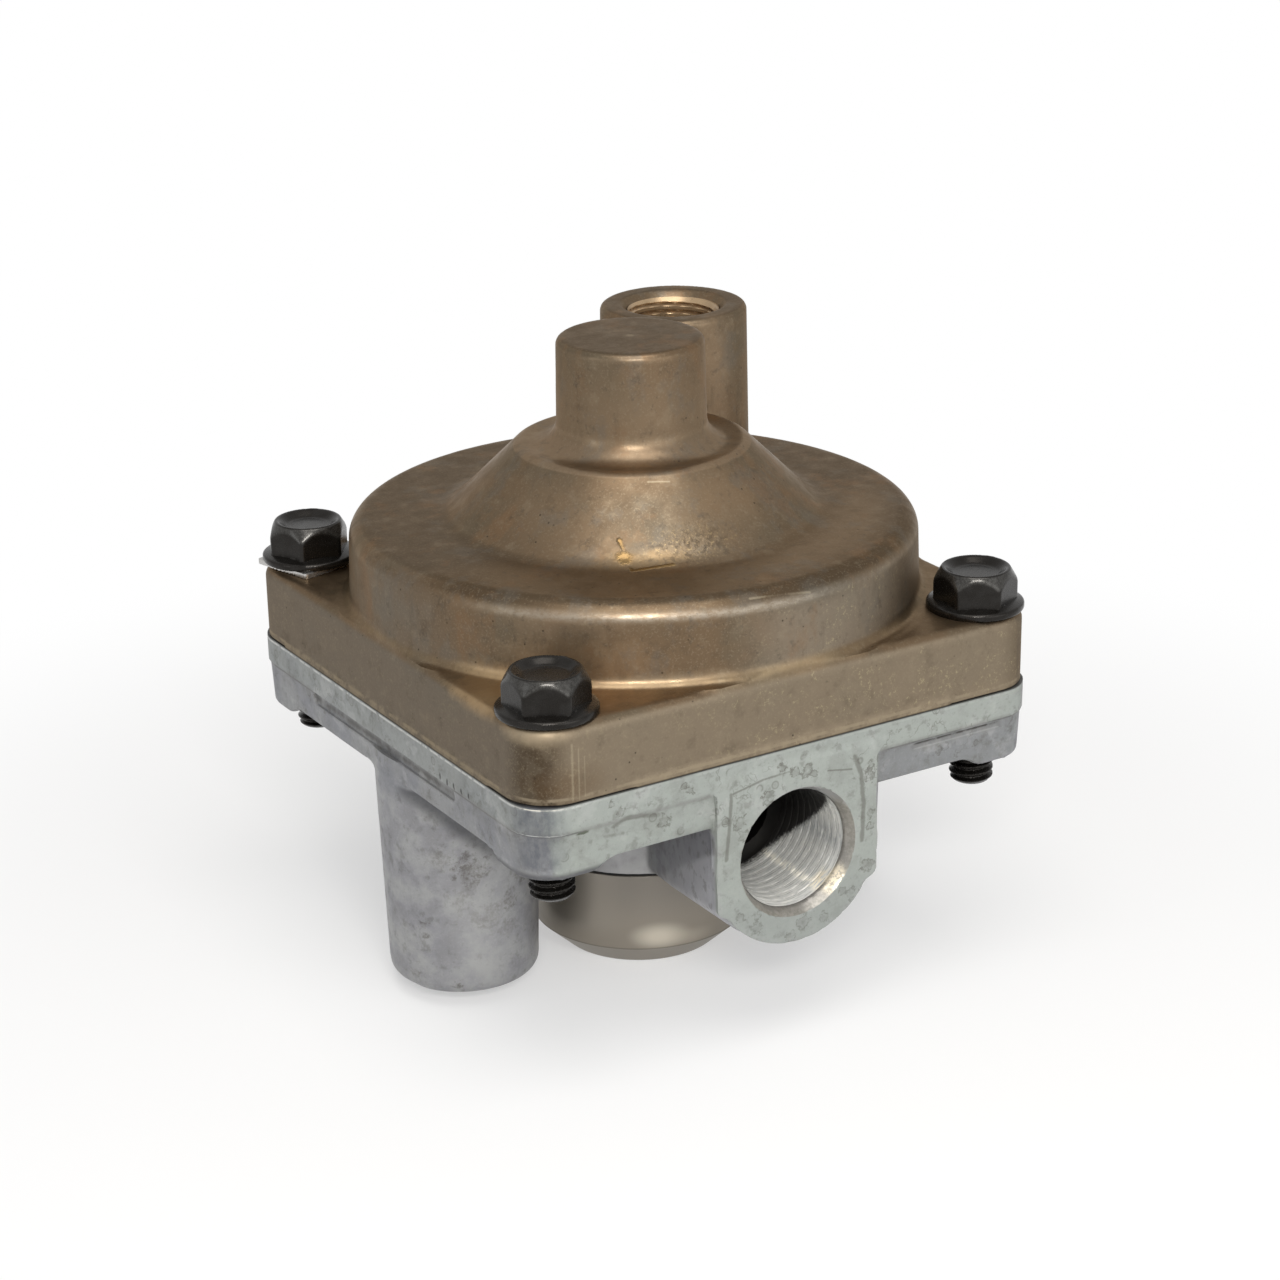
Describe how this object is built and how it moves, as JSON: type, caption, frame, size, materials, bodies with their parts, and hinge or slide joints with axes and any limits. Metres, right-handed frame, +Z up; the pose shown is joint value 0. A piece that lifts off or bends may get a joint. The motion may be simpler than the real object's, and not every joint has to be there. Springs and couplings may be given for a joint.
{
  "type": "service relay valve",
  "caption": "Air brake relay valve: square control cover with a drum and port boss, screwed on a ported body with a supply port, delivery ports and an exhaust cup.",
  "frame": {"origin": "on the valve axis, in the plane of the exhaust cover's lower rim, which the valve stands on", "axes": "+Z up along the valve axis to the centre boss, -Y out of the supply port, -X and +X to the delivery ports"},
  "size_m": [0.1045, 0.1046, 0.1146],
  "materials": {
    "body_casting": "matt",
    "cover_casting": "satin",
    "black_steel": "satin",
    "bright_zinc": "satin",
    "black_rubber": "matt",
    "piston_aluminium": "satin",
    "spring_steel": "satin",
    "valve_brass": "satin",
    "guide_plastic": "matt",
    "exhaust_casting": "satin"
  },
  "bodies": {
    "housing": {"valve_body": "body_casting", "control_cover": "cover_casting", "cover_bolts": "black_steel", "square_washer": "bright_zinc", "flange_seal_ring": "black_rubber", "piston_return_spring": "spring_steel", "valve_spring": "spring_steel", "valve_guide": "guide_plastic", "guide_outer_seal": "black_rubber", "guide_inner_seal": "black_rubber", "guide_retaining_ring": "spring_steel", "exhaust_cover": "exhaust_casting", "exhaust_cover_seal": "black_rubber", "cover_retaining_wire": "spring_steel", "exhaust_flap": "black_rubber", "flap_rivet": "bright_zinc"},
    "piston": {"relay_piston": "piston_aluminium", "piston_seal_ring": "black_rubber"},
    "valve": {"inlet_exhaust_valve": "valve_brass", "valve_face_rubber": "black_rubber", "valve_spring_washer": "bright_zinc"}
  },
  "joints": [
    {"name": "relay_piston", "type": "slide", "parent": "housing", "child": "piston", "axis": [0, 0, -1], "range_m": [0, 0.004], "stiffness_N_per_m": 2500, "springref_m": -0.006, "deforming": ["piston_return_spring"]},
    {"name": "inlet_valve", "type": "slide", "parent": "housing", "child": "valve", "axis": [0, 0, -1], "range_m": [0, 0.0025], "stiffness_N_per_m": 1500, "springref_m": -0.004, "deforming": ["valve_spring"]}
  ],
  "couplings": [
    {"joint": "inlet_valve", "follows": "relay_piston", "ratio": 0.625}
  ]
}
